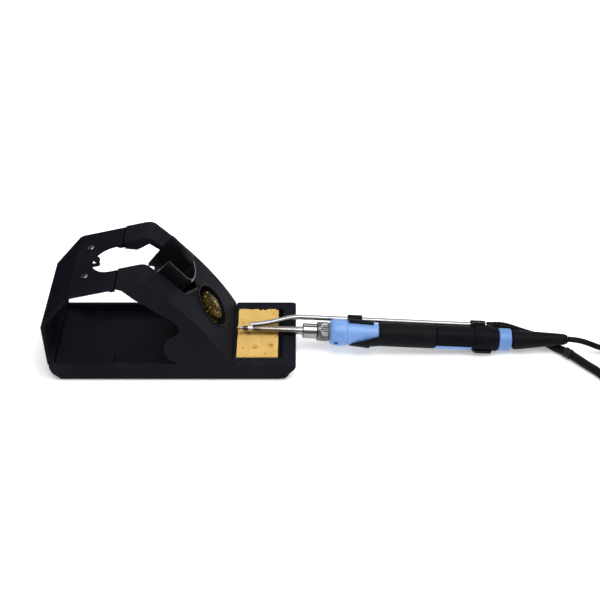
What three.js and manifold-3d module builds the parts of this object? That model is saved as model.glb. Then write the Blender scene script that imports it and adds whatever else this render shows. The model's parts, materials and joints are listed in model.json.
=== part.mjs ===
// Soldering iron station: a moulded stand with a sponge tray and a brass-wool well,
// and a fume-extraction iron lying across the tray, with its cable and fume hose.
// Millimetres, +Z up. Origin: centre of the stand's underside, on the bench.

import * as THREE from 'three';
import { mergeVertices } from 'three/addons/utils/BufferGeometryUtils.js';
import Module from 'manifold-3d';

const wasm = await Module();
wasm.setup();

// ---- driving dimensions ----
const GAP = 0.3;                      // clearance between touching pieces

const BASE_L = 188;                   // stand length, X
const BASE_W = 74;                    // stand depth, Y
const BASE_H = 16.4;                  // base top above the bench
const BASE_WALL = 2.5;
const BASE_CORNER = 2.6;              // corner radius in plan
const PAD_H = 1.2;                    // rubber pad under the base
const BASE_BOTTOM = PAD_H + GAP;
const BAY_FLOOR = 9;                  // storage bay floor height
const BAY_RIGHT = 43.5;
const RAMP_START = -72;               // where the bay floor starts to rise to the left
const RAMP_TOP = 14;
const LUG_X = [-61.6, -45.2];         // small block inside the bay's front wall
const LUG_BACK = -23.4;
const BALLAST_TOP = 5.9;
const BALLAST_HALF_W = 30;
const BALLAST_X = [-77.7, 39.7];

const TRAY_X = [46.2, 94];            // sponge tray rim
const TRAY_RIM_T = 1.6;
const WELL_X = [47.3, 84];            // sponge well
const WELL_HALF_W = 29.2;
const WELL_FLOOR = 8;
const TRAY_WALL = 1.5;
const SPONGE_X = [48.1, 80.4];
const SPONGE_HALF_W = 28.7;
const SPONGE_TOP = 17;

const BAND_T = 2.2;                   // arch band thickness
const BAND_TOP = [[-69.8, 82.9], [-35.8, 91.2]];
const SHELL_T = 2.4;                  // holder shell wall
const SHELL_STEP = 1.0;               // the shell stands this much proud of the band
const SLOT_HALF_W = 16;
const SLOT_LEFT = -57.5;
const HOLDER_X = 8.2;                 // centre of the slot's rounded lower end
const HOLDER_END_RX = 11.5;
const HOLDER_Z = 73.4;
const HOLDER_NORMAL = [0.76, 0.65];   // outward normal of the plate there (X, Z)
const HOLDER_HALF_W = 15;             // half width of the funnel where it passes the plate
const HOLDER_ROUND = 9;               // how far its lower end reaches down the slope
const HOLDER_LEAN = 0.13;             // half of what the rear wall leans per millimetre outwards
const HOLDER_SKEW = 0.25;             // how much lower the round end sits per millimetre of depth
const HOLDER_WALL = 1.5;

const SCREW_X = -60.3;
const SCREW_Y = 17.3;
const SCREW_SHANK_R = 1.4;
const SCREW_HEAD_R = 2.6;

const WOOL_C = [31.2, 44.6];          // centre of the wool well's mouth (X, Z)
const WOOL_AXIS = [0.838, 0.546];
const WOOL_HOLE_R = 18.4;
const CUP_DEPTH = 18;
const CUP_WALL = 1.2;

const IRON_TIP = [48.2, -1.2, 22.4];  // front end of the tip
const IRON_DROP = 3.34;               // degrees that the axis falls towards the handle
const TIP_L = 12.4;
const BARREL_R = [1.85, 3.3];         // at the tip and at the sleeve
const SLEEVE_X = [50.9, 66];
const SLEEVE_R = 5.9;
const NUT_X = [61.9, 71.6];
const NUT_R = 7.6;
const NOSE_X = [71.9, 118];
const NOSE_R = 10.6;
const NOSE_END = 109.9;               // where the visible collar meets the grip
const GRIP_X = [110.2, 155.1];
const GRIP_R = 9.55;
const TONGUE_EDGE = [[86.5, -10.2], [110, -2]];  // its upper edge, along and up the tilted face
const TONGUE_TILT = 50.5;             // degrees that this face leans back
const TONGUE_INNER_R = 7.45;
const BODY_X = [119, 203.9];
const BODY_R = 9.4;
const ACCENT_TURN = 1.05;             // radians from straight down to the user's side
const RING_X = [204.2, 214];
const RING_R = 8.8;
const RELIEF_L = 43.2;
const RELIEF_R = [7.6, 4];
const TUBE_R = 2.05;                  // fume tube
const TUBE_OFF = 12.7;                // its distance from the iron's axis along the handle
const TUBE_ANGLE = 75;                // degrees from straight up, towards the back
const TUBE_END = 200.9;
const NOZZLE_X = [196.2, 204.6];      // rubber nozzle on the tube's rear end
const NOZZLE_R = 2.95;
const CLIP_R = 10.9;
const REAR_CLIP_X = [185, 199];
const FRONT_CLIP_X = [86.4, 106];

const CABLE_R = 2.25;
const CABLE_COIL = { x: 442, y: 10, r: 25, turns: 7, pitch: 4.6, z: 2.3 };
const CABLE_RUN = [
  [306.15, -4.36, 13.25], [312, -4.8, 12.95], [316, -5.1, 12.2], [320, -5.5, 11.1],
  [326, -6.3, 9], [331.6, -6.8, 6.9], [337, -5.9, 5], [342.5, -3.6, 3.5], [348.5, 0.2, 2.6],
  [355, 4.8, 2.3], [363, 10, 2.3], [371, 14.7, 2.3], [380, 19, 2.3], [390, 23, 2.3],
  [400, 27, 2.3], [410, 31.2, 2.3], [418, 34.2, 2.3], [426, 35.9, 2.3],
];
const CABLE_TAIL = [
  [461, 33.6, 33.4], [468, 31.6, 30.4], [475, 29, 25.6], [481.2, 25.4, 20],
  [486.4, 20.6, 14.8], [490.2, 14.8, 10.6], [492.4, 8.2, 8.2], [493, 1.4, 7.3],
];
const PLUG_END = [493, 0.6, 7.2];
const PLUG_DIR = [0, -1, 0];

const HOSE_R = 3.4;
const HOSE_COIL = { x: 385, y: -25, r: 35, turns: 5, pitch: 6.9, z: 3.45 };
const HOSE_RUN = [
  [253.15, 11.07, 13.72], [257.3, 11.05, 13.2], [262, 10.98, 11.85], [267, 10.85, 9.9],
  [272, 10.6, 7.95], [277, 10.1, 6.4], [281.8, 8.9, 5.4], [286.2, 6.8, 4.6], [290.2, 3.9, 4],
  [294.2, 0.4, 3.6], [298.2, -3.2, 3.5], [302.6, -6.9, 3.85], [306.6, -10.6, 4.15], [311.4, -15.4, 4.05],
  [318, -22.5, 3.65], [325.2, -30.2, 3.5], [331, -37.6, 3.45], [337.2, -45.2, 3.45],
  [344, -51.6, 3.45], [351, -56.2, 3.45], [358, -58.9, 3.45],
];
const HOSE_TAIL = [
  [409.5, -60, 37.3], [417, -60, 36], [424.5, -60, 33.2], [431.5, -60, 28.8],
  [438, -60, 23.4], [444.5, -60, 17.6], [451, -60, 12.4], [457.5, -60, 9], [463.5, -60, 7.5],
];
const FITTING_END = [464.3, -60, 7.3];
const FITTING_DIR = [1, 0, 0];
const HOSE_CLIP_AT = [306.6, -10.6, 4.15];
const HOSE_CLIP_DIR = [0.7, -0.714, 0];

// ---- materials ----
function finish(color, roughness, metalness) {
  return new THREE.MeshStandardMaterial({ color, roughness, metalness });
}

const BLACK_PLASTIC = finish(0x17181c, 0.42, 0);
const BLACK_RUBBER = finish(0x111113, 0.8, 0);
const BLACK_SHEATH = finish(0x131315, 0.5, 0);
const BLUE_PLASTIC = finish(0x7fb2ea, 0.45, 0);
const STEEL = finish(0xb9bcc0, 0.28, 1);
const CHROME = finish(0xd2d4d6, 0.15, 1);
const DARK_STEEL = finish(0x4a4b4e, 0.5, 1);
const BRASS = finish(0xc79a3a, 0.35, 1);
const SPONGE_YELLOW = finish(0xf0b545, 0.95, 0);
const CERAMIC = finish(0xe8e4da, 0.7, 0);
const BOARD_GREEN = finish(0x1f6b3c, 0.6, 0);

// ---- helpers ----
function cleaned(source) {
  // Welds the corners, drops empty triangles and makes the faces point out.
  const geometry = source.clone();
  geometry.deleteAttribute('normal');
  geometry.deleteAttribute('uv');
  const welded = mergeVertices(geometry, 1e-4);
  const pos = welded.attributes.position;
  const index = welded.index.array;
  const kept = [];
  let volume = 0;
  const a = new THREE.Vector3();
  const b = new THREE.Vector3();
  const c = new THREE.Vector3();
  for (let i = 0; i < index.length; i += 3) {
    const [p, q, r] = [index[i], index[i + 1], index[i + 2]];
    if (p === q || q === r || r === p) continue;
    kept.push(p, q, r);
    a.fromBufferAttribute(pos, p);
    b.fromBufferAttribute(pos, q);
    c.fromBufferAttribute(pos, r);
    volume += a.dot(b.cross(c));
  }
  if (volume < 0) {
    for (let i = 0; i < kept.length; i += 3) {
      [kept[i], kept[i + 1]] = [kept[i + 1], kept[i]];
    }
  }
  welded.setIndex(kept);
  return welded;
}

function toManifold(geometry) {
  const g = cleaned(geometry);
  return new wasm.Manifold(new wasm.Mesh({
    numProp: 3,
    vertProperties: new Float32Array(g.attributes.position.array),
    triVerts: new Uint32Array(g.index.array),
  }));
}

function fromManifold(solid) {
  const m = solid.getMesh();
  const g = new THREE.BufferGeometry();
  g.setAttribute('position', new THREE.BufferAttribute(new Float32Array(m.vertProperties), 3));
  g.setIndex(new THREE.BufferAttribute(new Uint32Array(m.triVerts), 1));
  g.computeVertexNormals();
  return g;
}

function combine(base, added, removed) {
  // One body: the base with the added shapes joined and the removed shapes cut away.
  let solid = toManifold(base);
  for (const shape of added) solid = solid.add(toManifold(shape));
  for (const shape of removed) solid = solid.subtract(toManifold(shape));
  return fromManifold(solid);
}

function common(one, other) {
  return fromManifold(toManifold(one).intersect(toManifold(other)));
}

function named(name, geometry, material) {
  const mesh = new THREE.Mesh(cleaned(geometry), material);
  mesh.name = name;
  return mesh;
}

function box(x0, x1, y0, y1, z0, z1) {
  const g = new THREE.BoxGeometry(x1 - x0, y1 - y0, z1 - z0);
  return g.translate((x0 + x1) / 2, (y0 + y1) / 2, (z0 + z1) / 2);
}

function outline(points) {
  return new THREE.Shape(points.map(([x, y]) => new THREE.Vector2(x, y)));
}

function plate(shape, z0, z1, segments = 8) {
  // An outline in X and Y, given height.
  const g = new THREE.ExtrudeGeometry(shape,
    { depth: z1 - z0, bevelEnabled: false, curveSegments: segments });
  return g.translate(0, 0, z0);
}

function across(points, y0, y1) {
  // A side outline in X and Z, carried across the depth.
  const g = new THREE.ExtrudeGeometry(outline(points), { depth: y1 - y0, bevelEnabled: false });
  return g.rotateX(Math.PI / 2).translate(0, y1, 0);
}

function roundedRect(x0, x1, y0, y1, r) {
  const s = new THREE.Shape();
  s.moveTo(x0 + r, y0);
  s.lineTo(x1 - r, y0);
  s.absarc(x1 - r, y0 + r, r, -Math.PI / 2, 0, false);
  s.lineTo(x1, y1 - r);
  s.absarc(x1 - r, y1 - r, r, 0, Math.PI / 2, false);
  s.lineTo(x0 + r, y1);
  s.absarc(x0 + r, y1 - r, r, Math.PI / 2, Math.PI, false);
  s.lineTo(x0, y0 + r);
  s.absarc(x0 + r, y0 + r, r, Math.PI, Math.PI * 1.5, false);
  return s;
}

function turned(profile, segments = 32) {
  // Pairs of distance along +X and radius, closed, turned about the X axis.
  const points = profile.map(([x, r]) => new THREE.Vector2(r, x));
  points.push(points[0].clone());
  return new THREE.LatheGeometry(points, segments).rotateZ(-Math.PI / 2);
}

function turnedAbout(profile, centre, dir, segments = 32) {
  // Same, about a line through centre along dir.
  const g = turned(profile, segments);
  const q = new THREE.Quaternion().setFromUnitVectors(
    new THREE.Vector3(1, 0, 0), new THREE.Vector3(...dir).normalize());
  return g.applyQuaternion(q).translate(...centre);
}

function rod(x0, x1, r, segments = 24) {
  return turned([[x0, 0], [x0, r], [x1, r], [x1, 0]], segments);
}

function along(points, radius, sides, steps) {
  // A round cord along a smooth curve through the points.
  const curve = new THREE.CatmullRomCurve3(points.map((p) => new THREE.Vector3(...p)),
    false, 'centripetal');
  const ring = new THREE.Shape();
  for (let i = 0; i < sides; i++) {
    const angle = (i / sides) * Math.PI * 2;
    const [x, y] = [radius * Math.cos(angle), radius * Math.sin(angle)];
    if (i === 0) ring.moveTo(x, y);
    else ring.lineTo(x, y);
  }
  return new THREE.ExtrudeGeometry(ring, { steps, bevelEnabled: false, extrudePath: curve });
}

function bandTop(x) {
  const [[x0, z0], [x1, z1]] = BAND_TOP;
  return z0 + (x - x0) * (z1 - z0) / (x1 - x0);
}

function platePoint(t) {
  // The sloped plate's outer curve, t from 0 at the crest to 1 at the foot.
  const curve = new THREE.CubicBezierCurve(
    new THREE.Vector2(-13, 95), new THREE.Vector2(11, 71.5),
    new THREE.Vector2(32.5, 44.5), new THREE.Vector2(45.6, BASE_H + GAP));
  return curve.getPoint(t);
}

function shellOutline(inset) {
  // The shell's top edge from the seam over the crest to the foot, moved inwards by inset.
  const steps = 14;
  const points = [
    new THREE.Vector2(-35.5, bandTop(-35.5) + SHELL_STEP),
    new THREE.Vector2(-21.5, bandTop(-21.5) + SHELL_STEP),
    new THREE.Vector2(-18, 96.35),
    new THREE.Vector2(-15.4, 96.2),
  ];
  for (let i = 0; i <= steps; i++) points.push(platePoint(i / steps));
  return points.map((p, i) => {
    const before = points[Math.max(i - 1, 0)];
    const after = points[Math.min(i + 1, points.length - 1)];
    const d = after.clone().sub(before).normalize();
    return [p.x + d.y * inset, p.y - d.x * inset];
  });
}

// ---- stand ----
function slotCutter() {
  // The long slot through the arch and the plate, round at both ends.
  const s = new THREE.Shape();
  s.moveTo(SLOT_LEFT + SLOT_HALF_W, SLOT_HALF_W);
  s.absarc(SLOT_LEFT + SLOT_HALF_W, 0, SLOT_HALF_W, Math.PI / 2, Math.PI * 1.5, false);
  s.lineTo(HOLDER_X, -SLOT_HALF_W);
  s.absellipse(HOLDER_X, 0, HOLDER_END_RX, SLOT_HALF_W, -Math.PI / 2, Math.PI / 2, false, 0);
  s.lineTo(SLOT_LEFT + SLOT_HALF_W, SLOT_HALF_W);
  return plate(s, 45, 120, 14);
}

function rubberPad() {
  return plate(roundedRect(-81, 76, -33, 33, 4), 0, PAD_H, 4);
}

function baseTray() {
  const half = BASE_L / 2;
  const halfW = BASE_W / 2;
  const block = plate(roundedRect(-half, half, -halfW, halfW, BASE_CORNER), BASE_BOTTOM, BASE_H, 4);
  const side = across([
    [-84, 0], [-91.2, 6.6], [-93.3, 10.4], [-half - 1, 13], [-half - 1, BASE_H + 1],
    [TRAY_X[0] - GAP, BASE_H + 1], [TRAY_X[0] - GAP, BASE_H - TRAY_RIM_T - GAP],
    [half + 1, BASE_H - TRAY_RIM_T - GAP], [half + 1, 13], [92.2, 10.1], [89.2, 7.2],
    [87.4, 3.8], [85.2, 2], [79.3, 1.4], [79.3, 0],
  ], -halfW - 1, halfW + 1);
  const inner = halfW - BASE_WALL;
  const bay = across([
    [-half + BASE_WALL, RAMP_TOP], [RAMP_START, BAY_FLOOR], [BAY_RIGHT, BAY_FLOOR],
    [BAY_RIGHT, BASE_H + 2], [-half + BASE_WALL, BASE_H + 2],
  ], -inner, inner);
  const lug = combine(box(LUG_X[0], LUG_X[1], -inner - 1, LUG_BACK, BAY_FLOOR - 1, 14.6),
    [box(LUG_X[0] + 0.8, LUG_X[1] - 0.8, -inner - 1, LUG_BACK - 0.8, 14, 15.4)], []);
  const well = box(WELL_X[0] - TRAY_WALL - 0.6, WELL_X[1] + TRAY_WALL + 0.6,
    -WELL_HALF_W - TRAY_WALL - 0.6, WELL_HALF_W + TRAY_WALL + 0.6,
    WELL_FLOOR - TRAY_WALL - GAP, BASE_H + 2);
  const ballast = box(BALLAST_X[0] - GAP, BALLAST_X[1] + GAP, -BALLAST_HALF_W - GAP,
    BALLAST_HALF_W + GAP, 0, BALLAST_TOP + GAP);
  const body = combine(common(block, side), [], [bay, well, ballast]);
  return combine(body, [lug], []);
}

function ballastPlate() {
  return plate(roundedRect(BALLAST_X[0], BALLAST_X[1], -BALLAST_HALF_W, BALLAST_HALF_W, 3),
    BASE_BOTTOM, BALLAST_TOP, 3);
}

function screwFrame(y) {
  // Where an arch screw sits: its local +Z is the band's outward normal.
  const tilt = Math.atan2(BAND_TOP[1][1] - BAND_TOP[0][1], BAND_TOP[1][0] - BAND_TOP[0][0]);
  return new THREE.Matrix4().makeTranslation(SCREW_X, y, bandTop(SCREW_X))
    .multiply(new THREE.Matrix4().makeRotationY(-tilt));
}

function pin(r, z0, z1, segments = 20) {
  return new THREE.CylinderGeometry(r, r, z1 - z0, segments)
    .rotateX(Math.PI / 2).translate(0, 0, (z0 + z1) / 2);
}

function archBand() {
  const t = BAND_T;
  const outer = -BASE_L / 2;
  const foot = outer + BASE_WALL + GAP;
  const inner = (x) => bandTop(x) - t * 1.03;
  const strip = across([
    [outer, BASE_H + GAP], [outer - 0.2, 53.4], [outer + 0.9, 56.4], [-72, 81.4], [-69.3, 83.02],
    [-35.8, bandTop(-35.8)], [-35.8, bandTop(-35.8) - 3.6], [-38.6, bandTop(-38.6) - 3.6],
    [-40.8, inner(-40.8)], [-68.6, inner(-68.6)], [-70.4, 79.6], [outer + 3.1, 55.2],
    [outer + 2.2, 52.8], [outer + 2.2, 23], [foot + 2.2, 20.5], [foot + 2.2, BASE_H + GAP],
  ], -BASE_W / 2, BASE_W / 2);
  const footW = BASE_W / 2 - BASE_WALL - GAP;
  const tab = across([[foot, 15.1], [foot + 2.2, 14.8], [foot + 2.2, 18], [foot, 18]],
    -footW, footW);
  const under = -SHELL_T * 1.03 + SHELL_STEP - GAP;
  const tongue = across([
    [-38, bandTop(-38) + under], [-24, bandTop(-24) + under],
    [-24, bandTop(-24) + under - t], [-38, bandTop(-38) + under - t],
  ], -footW, footW);
  const holes = [-SCREW_Y, SCREW_Y].map((y) =>
    pin(SCREW_SHANK_R + GAP, -8, 8).applyMatrix4(screwFrame(y)));
  return combine(strip, [tab, tongue], [slotCutter(), ...holes]);
}

function holderShell() {
  const top = shellOutline(0);
  const halfW = BASE_W / 2;
  const lower = [
    [3.4, BASE_H + GAP], [3.4, 18], [-2.4, 21.8], [-4.6, 27], [-4.6, 34.5], [-2.2, 38.8],
    [5.2, 44], [7.9, 47.6], [8.3, 51.2], [6.4, 55.8], [2, 60.6], [-8, 68.4], [-22, 79.2],
    [-31.2, 88.2], [-35.5, bandTop(-35.5) - 1.6],
  ];
  const solid = across([...top, ...lower], -halfW, halfW);
  const under = shellOutline(SHELL_T);
  const last = under[under.length - 1];
  const hollow = across([
    [-60, under[0][1] - 24.5 * 0.244], ...under, [last[0], 0], [-60, 0],
  ], -halfW + SHELL_T, halfW - SHELL_T);
  const ribs = [-1, 1].map((sign) => across([
    [-34.6, bandTop(-34.6) - 0.6], [-34.6, 86.2], [-25.4, 85.2], [-13.6, 92.2], [-16, 95],
    [-22, bandTop(-22) - 0.6],
  ], Math.min(sign * SLOT_HALF_W, sign * (SLOT_HALF_W + 2)),
  Math.max(sign * SLOT_HALF_W, sign * (SLOT_HALF_W + 2))));
  const tabs = [];
  for (const sign of [-1, 1]) {
    const [a, b, c] = [halfW - SHELL_T + 0.2, halfW - BASE_WALL - GAP, halfW - 5];
    tabs.push(across([[8, 17], [40, 17], [38, 22], [10, 22]], Math.min(sign * a, sign * c),
      Math.max(sign * a, sign * c)));
    tabs.push(across([[9, 10], [39, 10], [39, 18], [9, 18]], Math.min(sign * b, sign * c),
      Math.max(sign * b, sign * c)));
  }
  const woolHole = turnedAbout([[-6, 0], [-6, WOOL_HOLE_R], [14, WOOL_HOLE_R], [14, 0]],
    [WOOL_C[0], 0, WOOL_C[1]], [WOOL_AXIS[0], 0, WOOL_AXIS[1]], 48);
  const shell = combine(solid, [], [hollow]);
  const ribbed = combine(shell, ribs, [tongueRoom()]);
  return combine(ribbed, tabs, [slotCutter(), woolHole]);
}

function tongueRoom() {
  // Room for the band's tongue through the ribs.
  const under = -SHELL_T * 1.03 + SHELL_STEP;
  const t = BAND_T + 2 * GAP;
  return across([
    [-40, bandTop(-40) + under], [-23.7, bandTop(-23.7) + under],
    [-23.7, bandTop(-23.7) + under - t], [-40, bandTop(-40) + under - t],
  ], -SLOT_HALF_W - 2.5, SLOT_HALF_W + 2.5);
}

function restBracket() {
  // A cross strip under the band with a ball-ended finger that steadies the parked iron.
  const z = -BAND_T - GAP;
  const strip = box(-4.2, 1.6, -22, 22, z - 1.5, z);
  const finger = box(0, 7.8, -1.2, 1.8, z - 1.5, z - 0.2);
  const stem = pin(1.1, z - 1, 1.2, 12).translate(7.2, 0.3, 0);
  const ball = new THREE.SphereGeometry(2.5, 16, 10).translate(7.2, 0.3, 1.2);
  const holes = [-SCREW_Y, SCREW_Y].map((y) => pin(SCREW_SHANK_R + GAP, -10, 10).translate(0, y, 0));
  return combine(strip, [finger, stem, ball], holes).applyMatrix4(screwFrame(0));
}

function archScrew(y) {
  const profile = [[-6.5, 0], [-6.5, SCREW_SHANK_R], [GAP, SCREW_SHANK_R], [GAP, SCREW_HEAD_R],
    [1.1, SCREW_HEAD_R], [1.65, 1.9], [1.9, 0]];
  const body = turned(profile, 24).rotateY(-Math.PI / 2);
  const cross = [box(-1.5, 1.5, -0.3, 0.3, 1, 3), box(-0.3, 0.3, -1.5, 1.5, 1, 3)];
  return combine(body, [], cross).applyMatrix4(screwFrame(y));
}

function flaredU(grow, ends) {
  // A U outline in the plate's own frame: local +X up the slope, +Y to the user, +Z outwards.
  // Its rear wall leans back as it goes outwards; its round end reaches lower at the back.
  const half = HOLDER_HALF_W + grow;
  const s = new THREE.Shape();
  s.moveTo(34, half);
  s.lineTo(0, half);
  s.absellipse(0, 0, HOLDER_ROUND + grow, half, Math.PI / 2, Math.PI * 1.5, false, 0);
  s.lineTo(34, -half);
  s.lineTo(34, half);
  const g = plate(s, ends[0], ends[1], 12);
  const pos = g.attributes.position;
  for (let i = 0; i < pos.count; i++) {
    const lean = HOLDER_LEAN * pos.getZ(i);
    const y = pos.getY(i) * (1 + lean / half) - lean - 0.2;
    pos.setXY(i, pos.getX(i) + HOLDER_SKEW * y, y);
  }
  return g;
}

function holderFunnel() {
  // A horseshoe around the parked iron. Its side walls run on inwards, to a hook up the slope.
  const side = across([
    [22.3, 10.8], [-2, 10], [-4.5, 6.6], [-8, 5.2], [-13, 4.4], [-13, -6], [-6, -12], [0, -16],
    [6, -18.5], [11.4, -18.6], [14.3, -15.8], [16.6, -17], [18, -18.3], [19.4, -17],
    [19.8, -13.9], [21, -3.5],
  ], -20, 20);
  const walls = combine(flaredU(0, [-20, 12]), [], [flaredU(-HOLDER_WALL, [-21, 13])]);
  const [nx, nz] = HOLDER_NORMAL;
  const frame = new THREE.Matrix4().makeBasis(new THREE.Vector3(-nz, 0, nx),
    new THREE.Vector3(0, -1, 0), new THREE.Vector3(nx, 0, nz));
  frame.setPosition(HOLDER_X, 0, HOLDER_Z);
  return common(walls, side).applyMatrix4(frame);
}

function woolCup() {
  const r = WOOL_HOLE_R - GAP;
  return turnedAbout([
    [-CUP_DEPTH, 0], [-CUP_DEPTH, r], [-0.8, r], [-0.4, r - 0.5], [-0.8, r - CUP_WALL],
    [-CUP_DEPTH + CUP_WALL, r - CUP_WALL], [-CUP_DEPTH + CUP_WALL, 0],
  ], [WOOL_C[0], 0, WOOL_C[1]], [WOOL_AXIS[0], 0, WOOL_AXIS[1]], 40);
}

function brassWool() {
  const r = WOOL_HOLE_R - 2 * GAP - CUP_WALL;
  const floor = -CUP_DEPTH + CUP_WALL + GAP;
  return turnedAbout([
    [floor, 0], [floor, r - 2], [floor + 2, r], [-5.5, r], [-3.4, r - 1.6], [-1.8, r - 5],
    [-1.2, 0],
  ], [WOOL_C[0], 0, WOOL_C[1]], [WOOL_AXIS[0], 0, WOOL_AXIS[1]], 32);
}

function spongeTray() {
  const halfW = BASE_W / 2;
  const rim = plate(roundedRect(TRAY_X[0], TRAY_X[1], -halfW, halfW, BASE_CORNER),
    BASE_H - TRAY_RIM_T, BASE_H, 4);
  const body = plate(roundedRect(WELL_X[0] - TRAY_WALL + 0.6, WELL_X[1] + TRAY_WALL,
    -WELL_HALF_W - TRAY_WALL, WELL_HALF_W + TRAY_WALL, 2.4),
  WELL_FLOOR - TRAY_WALL, BASE_H - 0.4, 4);
  const well = plate(roundedRect(WELL_X[0], WELL_X[1], -WELL_HALF_W, WELL_HALF_W, 1.6),
    WELL_FLOOR, BASE_H + 1, 4);
  return combine(rim, [body], [well]);
}

function sponge() {
  return plate(roundedRect(SPONGE_X[0], SPONGE_X[1], -SPONGE_HALF_W, SPONGE_HALF_W, 1.2),
    WELL_FLOOR + GAP, SPONGE_TOP, 3);
}

// ---- iron, in its own frame: +X runs from the tip to the cable, origin at the tip ----
function tubeCentre(offset, degrees = TUBE_ANGLE) {
  const angle = THREE.MathUtils.degToRad(degrees);
  return [Math.sin(angle) * offset, Math.cos(angle) * offset];
}

function solderingTip() {
  const cone = turned([
    [0, 0], [0, 0.55], [4.9, 1.55], [5.1, 1.75], [8.5, 2.05], [8.5, 2.6], [11.9, 2.6],
    [TIP_L, 2.2], [TIP_L, 0.9], [20, 0.9], [20, 0],
  ], 28);
  const bevel = [new THREE.BoxGeometry(8, 6, 3).rotateY(-0.2).translate(0.2, 0, 2.15),
    new THREE.BoxGeometry(8, 6, 3).rotateY(0.2).translate(0.2, 0, -2.15)];
  return combine(cone, [], bevel);
}

function barrelTube() {
  const start = TIP_L + GAP;
  const [r0, r1] = BARREL_R;
  return turned([
    [start, 1.2], [start, r0], [SLEEVE_X[0], r1], [68, r1], [68, 1.95], [37, 1.95], [37, 1.2],
  ], 28);
}

function heaterElement() {
  return rod(38, 100, 1.6, 20);
}

function barrelSleeve() {
  const bore = BARREL_R[1] + GAP;
  const [x0, x1] = SLEEVE_X;
  return turned([
    [x0, bore], [x0, SLEEVE_R - 0.6], [x0 + 0.6, SLEEVE_R], [64.3, SLEEVE_R], [64.3, 6.45],
    [x1, 6.45], [x1, bore],
  ], 32);
}

function knurledNut() {
  // A collar with straight knurling cut by a ring of small grooves.
  const [x0, x1] = NUT_X;
  const body = turned([
    [x0, SLEEVE_R + GAP], [x0, NUT_R - 0.9], [x0 + 0.9, NUT_R], [x0 + 2, NUT_R],
    [x0 + 2.3, NUT_R - 0.5], [x0 + 2.8, NUT_R - 0.5], [x0 + 3.1, NUT_R], [x1 - 0.9, NUT_R],
    [x1, NUT_R - 0.9], [x1, 6.8], [64, 6.8], [64, SLEEVE_R + GAP],
  ], 48);
  const count = 24;
  const grooves = [];
  for (let i = 0; i < count; i++) {
    const angle = (i / count) * Math.PI * 2;
    const groove = new THREE.BoxGeometry(5.6, 0.75, 0.75).rotateX(Math.PI / 4)
      .translate(x0 + 6.4, 0, NUT_R + 0.05).rotateX(angle);
    grooves.push(groove);
  }
  return combine(body, [], grooves);
}

function noseCollar() {
  // A rounded guard that narrows to the grip, with a drain hole on the tool's underside.
  const [x0, x1] = NOSE_X;
  const body = turned([
    [66.4, 3.8], [66.4, 6.2], [x0, 6.2], [x0, 7.6], [x0 + 0.6, 8.7], [x0 + 2, 9.8],
    [x0 + 4, 10.4], [x0 + 6.4, NOSE_R], [x0 + 10.6, NOSE_R - 0.1], [85.2, 10.2], [85.9, 9.45],
    [89.5, 9.1], [NOSE_END - 0.5, 8.05], [NOSE_END, 7.7], [NOSE_END, 7.1], [x1, 7.1], [x1, 3.8],
  ], 40);
  const drain = pin(1.9, -13, -8.6, 16).applyMatrix4(new THREE.Matrix4().makeRotationX(
    THREE.MathUtils.degToRad(-TUBE_ANGLE))).translate(76.9, 0, 0);
  return combine(body, [], [drain, tongueBlock(GAP)]);
}

function tongueBlock(extra) {
  // The grip's tongue along the collar's lower front, grown by extra for its recess.
  const [left, right, deep] = [76.4, GRIP_X[0] + 3.8, -15];
  const rise = (TONGUE_EDGE[1][1] - TONGUE_EDGE[0][1]) / (TONGUE_EDGE[1][0] - TONGUE_EDGE[0][0]);
  const edge = (x) => TONGUE_EDGE[0][1] + (x - TONGUE_EDGE[0][0]) * rise + extra * 1.06;
  const prism = new THREE.ExtrudeGeometry(
    outline([[left, edge(left)], [left, deep], [right, deep], [right, edge(right)]]),
    { depth: 18, bevelEnabled: false });
  const slant = new THREE.Matrix4().makeRotationX(THREE.MathUtils.degToRad(TONGUE_TILT));
  const core = rod(left - 1, right + 1, TONGUE_INNER_R - extra, 40);
  return combine(prism.translate(0, 0, -3).applyMatrix4(slant), [], [core]);
}

function clipSaddle(x0, x1, bore, outer, wide, loopX) {
  // A moulded saddle over the tube's side of the handle, with a loop that holds the tube.
  // bore and outer are radii at x0 and x1, wide the half angle covered there in degrees.
  const [ty, tz] = tubeCentre(TUBE_OFF);
  const ring = turned([[x0, 0], [x0, outer[0] - 0.4], [x0 + 0.5, outer[0]],
    [x1 - 0.5, outer[1]], [x1, outer[1] - 0.4], [x1, 0]], 40);
  const reach = 16;
  const sector = new THREE.Shape();
  sector.moveTo(0, 0);
  for (let i = 0; i <= 6; i++) {
    const angle = THREE.MathUtils.degToRad(wide * (i / 3 - 1) + TUBE_ANGLE);
    sector.lineTo(-reach * Math.cos(angle), reach * Math.sin(angle));
  }
  sector.lineTo(0, 0);
  const wedge = new THREE.ExtrudeGeometry(sector, { depth: x1 - x0 + 2, bevelEnabled: false })
    .rotateY(Math.PI / 2).translate(x0 - 1, 0, 0);
  const saddle = common(ring, wedge);
  const loop = rod(loopX[0], loopX[1], TUBE_R + 1.6, 20).translate(0, ty, tz);
  const handle = turned([[x0 - 3, 0], [x0 - 3, bore[0]], [x0, bore[0]], [x1, bore[1]],
    [x1 + 3, bore[1]], [x1 + 3, 0]], 40);
  const tube = rod(x0 - 3, x1 + 3, TUBE_R + GAP, 20).translate(0, ty, tz);
  return { saddle, loop, handle, tube };
}

function frontClip() {
  const [x0, x1] = FRONT_CLIP_X;
  const parts = clipSaddle(x0, x1, [9.75, 8.6], [11.2, 10], 72, [x0, 97.6]);
  return combine(parts.saddle, [parts.loop], [parts.handle, parts.tube]);
}

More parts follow.
